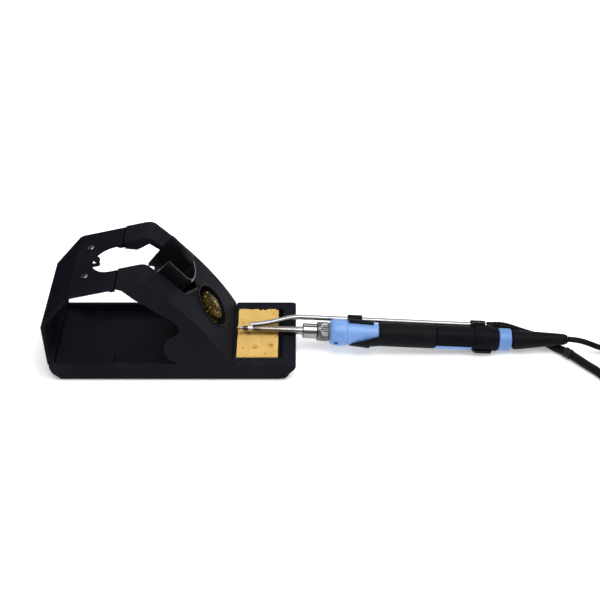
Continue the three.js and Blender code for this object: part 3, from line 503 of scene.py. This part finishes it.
def dress(node, material, edge):
    """Gives a CAD node its material, rounded edges of that width in mm, and smooth shading."""
    obj = frame["nodes"][node]
    for slot in obj.material_slots:
        slot.material = material
    weld = obj.modifiers.new("weld", "WELD")
    weld.merge_threshold = WELD_GAP
    flat = obj.modifiers.new("flat", "DECIMATE")
    flat.decimate_type = "DISSOLVE"
    flat.angle_limit = math.radians(FLAT_ANGLE)
    bevel = obj.modifiers.new("edge", "BEVEL")
    bevel.width = edge * MM
    bevel.segments = 3
    bevel.limit_method = "ANGLE"
    bevel.angle_limit = math.radians(EDGE_ANGLE)
    bevel.use_clamp_overlap = True
    bevel.miter_outer = "MITER_ARC"
    smooth = obj.modifiers.new("smooth", "NODES")
    smooth.node_group = SMOOTH_FACES
    normals = obj.modifiers.new("normals", "WEIGHTED_NORMAL")
    normals.keep_sharp = True
    normals.weight = 80


# ---------------------------------------------------------------- sponge
SPONGE_CELL = 0.42 * MM
PIT_COUNT = 120
PIT_RADIUS = (0.35, 1.15)         # mm
SPONGE_ROUND = 0.9 * MM           # of the cut edges
SPONGE_TRIM = 0.25 * MM           # the skin lies this far inside the CAD block
DENT_DEPTH, DENT_HALF = 0.35 * MM, 2.6 * MM      # left by the hot barrel
STRIPE_HALF = 1.9 * MM            # of the stripe under the barrel: partly real scorch, partly a painted shadow of the barrel
# Shares of the block's length and width, and a radius in mm.
NOTCHES = [(0.55, 1.0, 1.9), (0.65, 0.995, 1.6), (0.97, 0.99, 1.6), (0.30, 1.0, 0.8),
           (0.81, 0.24, 1.8), (0.45, 0.19, 1.3), (0.40, 0.22, 0.9), (0.02, 0.55, 1.2)]
STAINS = [(0.81, 0.24, 2.6), (0.45, 0.19, 2.0), (0.03, 0.47, 3.4)]


def block_grid(lo, hi, cell):
    """A closed box of even square cells: points on its faces and the quads between them."""
    counts = [max(2, round((hi[i] - lo[i]) / cell)) for i in range(3)]
    index, verts, faces = {}, [], []

    def corner(i, j, k):
        key = (i, j, k)
        if key not in index:
            index[key] = len(verts)
            verts.append(Vector(lo[a] + (hi[a] - lo[a]) * key[a] / counts[a] for a in range(3)))
        return index[key]

    for axis in range(3):
        u, v = (axis + 1) % 3, (axis + 2) % 3
        for side in (0, counts[axis]):
            for i in range(counts[u]):
                for j in range(counts[v]):
                    quad = []
                    for di, dj in ((0, 0), (1, 0), (1, 1), (0, 1)):
                        key = [0, 0, 0]
                        key[axis], key[u], key[v] = side, i + di, j + dj
                        quad.append(corner(*key))
                    faces.append(tuple(quad if side else reversed(quad)))
    return verts, faces


def rounded_block(point, lo, hi, radius):
    """Pulls a point on a box onto the box with rounded edges, and gives the normal there."""
    inner = Vector(min(max(point[i], lo[i] + radius), hi[i] - radius) for i in range(3))
    away = point - inner
    if away.length < 1e-9:
        return point, Vector((0, 0, 1))
    normal = away.normalized()
    return inner + normal * radius, normal


def on_sponge(lo, hi, share_x, share_y):
    """The point of the sponge's top at those shares of its length and width."""
    size = hi - lo
    return Vector((lo.x + size.x * share_x, lo.y + size.y * share_y, hi.z))


def random_pits(rng, lo, hi):
    """Pit centres and radii spread over the sponge's faces, and the notches on top."""
    pits = []
    for _ in range(PIT_COUNT):
        point = Vector(rng.uniform(lo[i], hi[i]) for i in range(3))
        axis = rng.choices((0, 1, 2), weights=(2, 1, 8))[0]
        point[axis] = hi[axis] if axis == 2 or rng.random() < 0.5 else lo[axis]
        pits.append((point, rng.uniform(*PIT_RADIUS) * rng.uniform(0.5, 1) * MM))
    for share_x, share_y, radius in NOTCHES:
        pits.append((on_sponge(lo, hi, share_x, share_y), radius * MM))
    return pits


def make_sponge():
    """The sponge block: rounded cut edges, open pits and the dent the hot barrel left."""
    lo, hi = (Vector(corner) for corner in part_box("sponge"))
    rng = random.Random(11)
    verts, faces = block_grid(lo, hi, SPONGE_CELL)
    pits = random_pits(rng, lo, hi)
    tree = kdtree.KDTree(len(pits))
    for i, (point, _) in enumerate(pits):
        tree.insert(point, i)
    tree.balance()
    depths, stain_and_shadow_values = [], []
    barrel = on_iron(0, 0, 0)
    for i, vert in enumerate(verts):
        point, normal = rounded_block(vert, lo, hi, SPONGE_ROUND)
        pit = 0.0
        for _, j, distance in tree.find_range(point, 2 * MM):
            radius = pits[j][1]
            wobble = 1 + 0.5 * noise.noise(point * 1400)
            if distance < radius * wobble:
                pit = max(pit, math.sqrt(max(0.0, (radius * wobble) ** 2 - distance ** 2)))
        uneven = 0.22 * MM * noise.fractal(point * 160, 0.8, 2.0, 3)
        uneven += 0.1 * MM * noise.noise(point * 900)
        across = abs(point.y - barrel.y + 0.001 * noise.noise(point * 120))
        top = point.z > hi.z - 1.5 * MM
        dent = DENT_DEPTH * math.exp(-(across / DENT_HALF) ** 2) if top else 0.0
        shift = SPONGE_TRIM - uneven + 0.8 * pit + dent
        verts[i] = point - normal * max(0.0, shift)
        # The pit depth, which the material turns into painted shade.
        depths.append(min(1.0, pit / (0.9 * MM)))
        # The stripe under the barrel: partly real scorch, partly a painted shadow of the barrel;
        # the stains below are real solder stains.
        stain_and_shadow_here = math.exp(-(across / STRIPE_HALF) ** 2) if top else 0.0
        for share_x, share_y, radius in STAINS:
            away = (point - on_sponge(lo, hi, share_x, share_y)).length
            stain_and_shadow_here = max(stain_and_shadow_here, 0.75 * math.exp(-(away / (radius * MM)) ** 2))
        stain_and_shadow_values.append(0.62 * stain_and_shadow_here)
    piece = new_piece("sponge_block", verts, faces, sponge_cellulose())
    for name, values in (("pit", depths), ("stain_and_shadow", stain_and_shadow_values)):
        attribute = piece.data.attributes.new(name, "FLOAT", "POINT")
        attribute.data.foreach_set("value", values)
    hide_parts("sponge")
    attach(piece, "stand")


# ---------------------------------------------------------------- brass wool
WOOL_STRANDS = 78
WOOL_SPREAD = 12.2 * MM           # radius of the nest, which leaves a dark gap at the cup's wall
WOOL_SHIFT = Vector((2.46, 3.6, -1.02)) * MM     # down the slope, back and 1.5 mm out
WOOL_DOME = 3.4 * MM              # how much lower the nest is at its rim
WOOL_STEPS = 90                   # points along a strand
STRAND_WIDTH = (0.35, 0.7)        # mm
STRAND_THICK = 0.09 * MM


def make_brass_wool():
    """A nest of curled flat brass strands, domed at the mouth of the cup."""
    axis = Vector(JOINTS["wool_pull"]["axis"]).normalized()
    corners = [Vector(corner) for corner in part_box("brass_wool")]
    cad = frame["nodes"]["brass_wool"].data.vertices
    heights = [v.co.dot(axis) for v in cad]
    bottom, top = min(heights), max(heights)
    middle = (corners[0] + corners[1]) / 2
    centre = middle - axis * middle.dot(axis) + WOOL_SHIFT
    u = axis.cross(Vector((0, 1, 0))).normalized()
    v = axis.cross(u)
    rng = random.Random(5)
    parts = [wool_strand(rng, strand, centre, (u, v, axis), bottom, top)
             for strand in range(WOOL_STRANDS)]
    piece = new_piece("brass_curls", *join_parts(parts), brass_strand(), smooth=False)
    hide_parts("brass_wool")
    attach(piece, "wool")


def wool_strand(rng, strand, centre, basis, bottom, top):
    """One flat strand: a small helix wound round a slow random arc."""
    u, v, axis = basis
    share = strand / WOOL_STRANDS
    level = top - (top - bottom - 2 * MM) * (share ** 1.6) - 2.0 * MM
    angle, turn = rng.uniform(0, 2 * math.pi), rng.choice((-1, 1)) * rng.uniform(0.7, 1.6)
    orbit = WOOL_SPREAD * math.sqrt(rng.uniform(0.02, 0.6))
    curl = rng.uniform(0.9, 2.0) * MM
    curl_rate = rng.uniform(14, 26)
    phase = rng.uniform(0, 6.3)
    tilt_u, tilt_v = rng.uniform(-2.2, 2.2) * MM, rng.uniform(-2.2, 2.2) * MM
    line = []
    for step in range(WOOL_STEPS):
        t = step / (WOOL_STEPS - 1)
        a = angle + turn * math.pi * t
        drift = orbit + 1.8 * MM * math.sin(3 * t + phase)
        out = u * math.cos(a) + v * math.sin(a)
        along = v * math.cos(a) - u * math.sin(a)
        height = level + tilt_u * math.cos(a) + tilt_v * math.sin(a)
        spin = phase + curl_rate * t * math.pi
        point = out * (drift + curl * math.cos(spin)) + axis * (curl * math.sin(spin))
        point += along * (0.3 * MM * math.sin(2 * spin))
        flat = point - axis * point.dot(axis)
        if flat.length > WOOL_SPREAD:
            point -= flat.normalized() * (flat.length - WOOL_SPREAD)
            flat = flat.normalized() * WOOL_SPREAD
        dome = top - 0.3 * MM - WOOL_DOME * (flat.length / WOOL_SPREAD) ** 2
        lift = min(max(height + point.dot(axis), bottom + 0.4 * MM), dome)
        point = point - axis * point.dot(axis) + axis * lift
        line.append(centre + point)
    return ribbon(line, rng.uniform(*STRAND_WIDTH) * MM, STRAND_THICK, axis)


def ribbon(line, width, thick, hint):
    """A flat strip along the line with four faces and closed ends."""
    verts, faces = [], []
    for i, p in enumerate(line):
        along = (line[min(i + 1, len(line) - 1)] - line[max(i - 1, 0)]).normalized()
        flat = along.cross(hint + Vector((0.001, 0.002, 0)))
        flat = flat.normalized() if flat.length > 1e-6 else Vector((1, 0, 0))
        face = along.cross(flat).normalized()
        for a, b in ((1, 1), (-1, 1), (-1, -1), (1, -1)):
            verts.append(p + flat * (a * width / 2) + face * (b * thick / 2))
    for i in range(len(line) - 1):
        for s in range(4):
            a, b = i * 4 + s, i * 4 + (s + 1) % 4
            faces.append((a, b, b + 4, a + 4))
    faces.append((3, 2, 1, 0))
    last = (len(line) - 1) * 4
    faces.append((last, last + 1, last + 2, last + 3))
    return verts, faces


# ---------------------------------------------------------------- iron pieces
NUT_TEETH = 30


def make_knurled_nut(material):
    """The nut with fine straight knurling between two chamfered rims."""
    x0, x1 = 61.9, 71.6
    outer, bore, inner_bore = 7.6, 6.2, 6.8
    profile = [(x0, bore), (x0, outer - 1.0), (x0 + 0.25, outer - 0.75), (x0 + 0.9, outer - 0.1),
               (x0 + 1.1, outer), (x0 + 1.8, outer), (x0 + 2.0, outer - 0.15),
               (x0 + 2.2, outer - 0.55), (x0 + 2.7, outer - 0.55), (x0 + 2.9, outer - 0.15),
               (x0 + 3.1, outer), (x0 + 5, outer),
               (x0 + 7, outer), (x1 - 0.9, outer), (x1 - 0.5, outer - 0.35), (x1, outer - 0.9),
               (x1, inner_bore), (64, inner_bore), (64, bore)]
    knurled = {10: 0.55, 11: 1.0, 12: 1.0, 13: 1.0, 14: 0.6}    # share of the cut, by profile row
    per_tooth = 6
    sides = NUT_TEETH * per_tooth
    wave = [0.0, 0.2, 0.42, 0.5, 0.42, 0.2]
    verts = []
    for k, (x, r) in enumerate(profile):
        for s in range(sides):
            angle = 2 * math.pi * s / sides
            cut = knurled.get(k, 0.0) * wave[s % per_tooth]
            verts.append(on_iron(x, (r - cut) * math.sin(angle), (r - cut) * math.cos(angle)))
    faces = [(a, d, c, b) for a, b, c, d in ring_quads(len(profile), sides)]
    piece = new_piece("fine_knurled_nut", verts, faces, material)
    soften(piece, 40)
    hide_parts("knurled_nut")
    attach(piece, "nut")


def soften(piece, angle):
    """Keeps edges over that many degrees sharp in a smooth-shaded mesh."""
    piece.data.set_sharp_from_angle(angle=math.radians(angle))


# Along the iron and off its axis in mm, and degrees round it from straight up to the back.
TUBE_PATH = [(10, 4.8, 96), (15, 5.5, 93), (24, 7.2, 87), (34, 9.7, 79), (41, 11.6, 76),
             (47, 12.6, 75), (53, 12.7, 75), (80, 12.7, 75), (200.9, 12.7, 75)]
TUBE_R = 2.05


def make_fume_tube(material):
    """The bent steel tube that draws the fumes from the tip, open at its front end."""
    points = [on_iron(x, off * math.sin(math.radians(turn)), off * math.cos(math.radians(turn)))
              for x, off, turn in TUBE_PATH]
    line = smooth_line(points, 1.2 * MM)
    piece = new_piece("bent_fume_tube", *pipe(line, TUBE_R * MM, (TUBE_R - 0.4) * MM, 36), material)
    soften(piece, 50)
    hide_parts("fume_tube")
    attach(piece, "extraction_tube")


# ---------------------------------------------------------------- cords
# Radii, coils and route points in mm; the routes start at the iron.
CABLE_R = 2.25
CABLE_COIL = {"x": 442, "y": 10, "r": 25, "turns": 7, "pitch": 4.6, "z": 2.3, "turn": -1}
CABLE_RUN = [
    (306.15, -4.36, 13.25), (312, -4.8, 12.95), (316, -5.1, 12.2), (320, -5.5, 11.1),
    (326, -6.3, 9), (331.6, -6.8, 6.9), (337, -5.9, 5), (342.5, -3.6, 3.5), (348.5, 0.2, 2.6),
    (355, 4.8, 2.3), (363, 10, 2.3), (371, 14.7, 2.3), (380, 19, 2.3), (390, 23, 2.3),
    (400, 27, 2.3), (410, 31.2, 2.3), (418, 34.2, 2.3), (426, 35.9, 2.3),
]
CABLE_TAIL = [
    (461, 33.6, 33.4), (468, 31.6, 30.4), (475, 29, 25.6), (481.2, 25.4, 20),
    (486.4, 20.6, 14.8), (490.2, 14.8, 10.6), (492.4, 8.2, 8.2), (493, 1.4, 7.3),
]

HOSE_R = 3.4
HOSE_COIL = {"x": 385, "y": -25, "r": 35, "turns": 5, "pitch": 6.9, "z": 3.45, "turn": 1}
HOSE_RUN = [
    (253.15, 11.07, 13.72), (257.3, 11.05, 13.2), (262, 10.98, 11.85), (267, 10.85, 9.9),
    (272, 10.6, 7.95), (277, 10.1, 6.4), (281.8, 8.9, 5.4), (286.2, 6.8, 4.6), (290.2, 3.9, 4),
    (294.2, 0.4, 3.6), (298.2, -3.2, 3.5), (302.6, -6.9, 3.85), (306.6, -10.6, 4.15),
    (311.4, -15.4, 4.05), (318, -22.5, 3.65), (325.2, -30.2, 3.5), (331, -37.6, 3.45),
    (337.2, -45.2, 3.45), (344, -51.6, 3.45), (351, -56.2, 3.45), (358, -58.9, 3.45),
]
HOSE_TAIL = [
    (409.5, -60, 37.3), (417, -60, 36), (424.5, -60, 33.2), (431.5, -60, 28.8),
    (438, -60, 23.4), (444.5, -60, 17.6), (451, -60, 12.4), (457.5, -60, 9), (463.5, -60, 7.5),
]
COIL_STEPS = 24                   # route points in each turn


def coil_points(coil):
    """The turns of a round coil, each lying on the one below."""
    points = []
    count = coil["turns"] * COIL_STEPS
    for i in range(count + 1):
        angle = coil["turn"] * (-math.pi / 2 + 2 * math.pi * i / COIL_STEPS)
        points.append((coil["x"] + coil["r"] * math.cos(angle),
                       coil["y"] + coil["r"] * math.sin(angle),
                       coil["z"] + coil["pitch"] * i / COIL_STEPS))
    return points


def make_cord(name, run, coil, tail, radius, material, sides=20):
    route = [Vector(p) * MM for p in [*run, *coil_points(coil), *tail]]
    line = smooth_line(route, radius * 0.75 * MM)
    piece = new_piece(name, *tube(line, radius * MM, sides), material)
    return piece, line


def make_cords(sheath, hose_skin):
    cable, line = make_cord("iron_cable", CABLE_RUN, CABLE_COIL, CABLE_TAIL, CABLE_R, sheath)
    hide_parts("cable_run", "cable_coil", "cable_tail")
    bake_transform(cable)

    hose, line = make_cord("fume_hose", HOSE_RUN, HOSE_COIL, HOSE_TAIL, HOSE_R, hose_skin, 24)
    clip = make_hose_clip()
    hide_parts("hose_run", "hose_coil", "hose_tail")
    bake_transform(hose)
    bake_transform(clip)


CLIP_CENTRE = Vector((306.6, -10.6, 4.15))
CLIP_DIR = Vector((0.7, -0.714, 0))


def make_hose_clip():
    """The split sleeve on the hose, with two raised bands."""
    bore, half = HOSE_R + 0.05, 2.7
    profile = [(-half, bore), (-half, 3.85), (-half + 0.25, 4.1), (-1.5, 4.1), (-1.2, 3.85),
               (1.2, 3.85), (1.5, 4.1), (half - 0.25, 4.1), (half, 3.85), (half, bore)]
    along = CLIP_DIR.normalized()
    u = along.cross(Vector((0, 0, 1))).normalized()
    v = along.cross(u)
    sides = 40
    verts = []
    for x, r in profile:
        for s in range(sides):
            angle = 2 * math.pi * s / sides
            verts.append((CLIP_CENTRE + along * x + u * (r * math.cos(angle))
                          + v * (r * math.sin(angle))) * MM)
    plastic = moulded_black("clip_plastic", colour(17, 17, 20), colour(26, 27, 31), 0.45)
    piece = new_piece("split_hose_clip", verts, ring_quads(len(profile), sides), plastic)
    soften(piece, 35)
    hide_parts("hose_clip")
    return piece


# ---------------------------------------------------------------- stage
FLOOR_SIZE = 6.0


def make_floor():
    low = CAD_BOX[0][2] - 0.0002
    half = FLOOR_SIZE / 2
    verts = [(-half, -half, low), (half, -half, low), (half, half, low), (-half, half, low)]
    floor = new_piece("floor", verts, [(0, 1, 2, 3)], pale_floor(), smooth=False)


def soft_light(name, place, target, size, power):
    data = bpy.data.lights.new(name, "AREA")
    data.shape = "RECTANGLE"
    data.size, data.size_y = size
    data.energy = power
    light = link(name, data)
    light.location = place
    light.rotation_euler = (Vector(target) - Vector(place)).to_track_quat("-Z", "Y").to_euler()


WORLD_GLOW = 0.16
LIT_POINT = (0.1, 0.0, 0.03)      # every lamp looks at this point


def make_lights():
    world = bpy.data.worlds.new("studio")
    bpy.context.scene.world = world
    world.use_nodes = True
    background = next(n for n in world.node_tree.nodes if n.type == "BACKGROUND")
    background.inputs["Color"].default_value = (1.0, 1.0, 1.0, 1.0)
    background.inputs["Strength"].default_value = WORLD_GLOW
    soft_light("key", (0.38, -0.35, 1.55), LIT_POINT, (1.5, 1.1), 30)
    soft_light("fill", (0.9, -1.4, 0.8), LIT_POINT, (1.2, 0.8), 4)
    soft_light("back", (0.3, 1.3, 1.1), LIT_POINT, (1.8, 0.7), 9)


CAMERA_PLACE = (0.09714, -0.67919, 0.61004)
CAMERA_TILT = 50.46               # degrees from straight down
CAMERA_LENS = 69.216              # mm, for a 36 mm sensor


def make_camera():
    """At the height and tilt of a person who looks down at a bench."""
    data = bpy.data.cameras.new("camera")
    data.sensor_width = 36
    data.lens = CAMERA_LENS
    camera = link("camera", data)
    camera.location = CAMERA_PLACE
    camera.rotation_euler = (math.radians(CAMERA_TILT), 0, 0)
    bpy.context.scene.camera = camera


def look():
    view = bpy.context.scene.view_settings
    view.view_transform = "Standard"
    view.look = "None"


# ---------------------------------------------------------------- build
def dress_all():
    stand_black = moulded_black("stand_black", colour(18, 19, 24), colour(26, 27, 33), 0.5,
                                shine=0.02, seam=True)
    band_black = moulded_black("band_black", colour(18, 19, 24), colour(26, 27, 33), 0.5,
                               shine=0.0, seam=True)
    cup_black = moulded_black("cup_black", colour(12, 12, 14), colour(18, 18, 20), 0.5,
                              shine=0.1)
    gloss_black = moulded_black("holder_black", colour(8, 9, 11), colour(14, 15, 18), 0.24,
                                grain=0.000004, shine=0.22)
    iron_black = moulded_black("handle_black", colour(13, 13, 18), colour(20, 20, 26), 0.45,
                               shine=0.03)
    grip = rubber_black("grip_rubber", colour(12, 12, 16), 0.5)
    relief = rubber_black("relief_rubber", colour(10, 10, 13), 0.5)
    pad = rubber_black("pad_rubber", colour(24, 24, 26), 0.8)
    blue = blue_plastic("blue_plastic", colour(96, 138, 200), colour(114, 154, 212))
    # A darker copy of the collar's blue for the rear ring, which is the same plastic: painted
    # shade.
    shaded_ring_blue = blue_plastic("shaded_ring_blue", colour(80, 121, 182), colour(96, 137, 194))
    screw = turned_metal("screw_steel", colour(104, 106, 110), 0.25, (900, 900, 900))
    dull = turned_metal("dull_steel", colour(96, 96, 98), 0.5, (700, 700, 700))
    gold = plain_solid("contact_brass", colour(206, 160, 84), 0.3, 1.0)
    for node in ("base_tray", "holder_shell", "sponge_tray"):
        dress(node, stand_black, 0.45)
    dress("arch_band", band_black, 0.45)
    dress("rest_bracket", stand_black, 0.25)
    dress("wool_cup", cup_black, 0.2)
    dress("holder_funnel", gloss_black, 0.3)
    for node in ("arch_screw_front", "arch_screw_rear"):
        dress(node, screw, 0.08)
    dress("rubber_pad", pad, 0.2)
    dress("ballast_plate", dull, 0.2)
    for node in ("handle_body", "front_clip", "rear_clip"):
        dress(node, iron_black, 0.22)
    dress("rubber_grip", grip, 0.25)
    for node in ("nose_collar", "accent_strip"):
        dress(node, blue, 0.25)
    dress("rear_ring", shaded_ring_blue, 0.25)
    dress("strain_relief", relief, 0.3)
    dress("hose_nozzle", relief, 0.15)
    dress("cable_plug", iron_black, 0.3)
    dress("hose_fitting", iron_black, 0.3)
    dress("plug_insert", gold, 0.05)
    dress("heater_element", plain_solid("heater_ceramic", colour(232, 228, 218), 0.7), 0.1)
    dress("heater_socket", dull, 0.1)
    dress("handle_board", plain_solid("board_green", colour(31, 107, 60), 0.6), 0.1)
    dress("soldering_tip", tinned_tip(), 0.08)
    dress("barrel_tube", barrel_steel(), 0.12)
    dress("barrel_sleeve", turned_metal(
        "sleeve_chrome", colour(140, 140, 143), 0.1, (9000, 120, 120), 0.000002), 0.2)


make_camera()
look()
make_cords(rubber_black("cable_sheath", colour(19, 19, 22), 0.36, along=True),
           rubber_black("hose_sheath", colour(17, 17, 20), 0.42, along=True))
dress_all()
make_sponge()
make_brass_wool()
make_knurled_nut(turned_metal("nut_nickel", colour(112, 111, 110), 0.24, (7000, 200, 200)))
make_fume_tube(turned_metal("tube_steel", colour(138, 138, 140), 0.18, (160, 3500, 3500)))
make_floor()
make_lights()
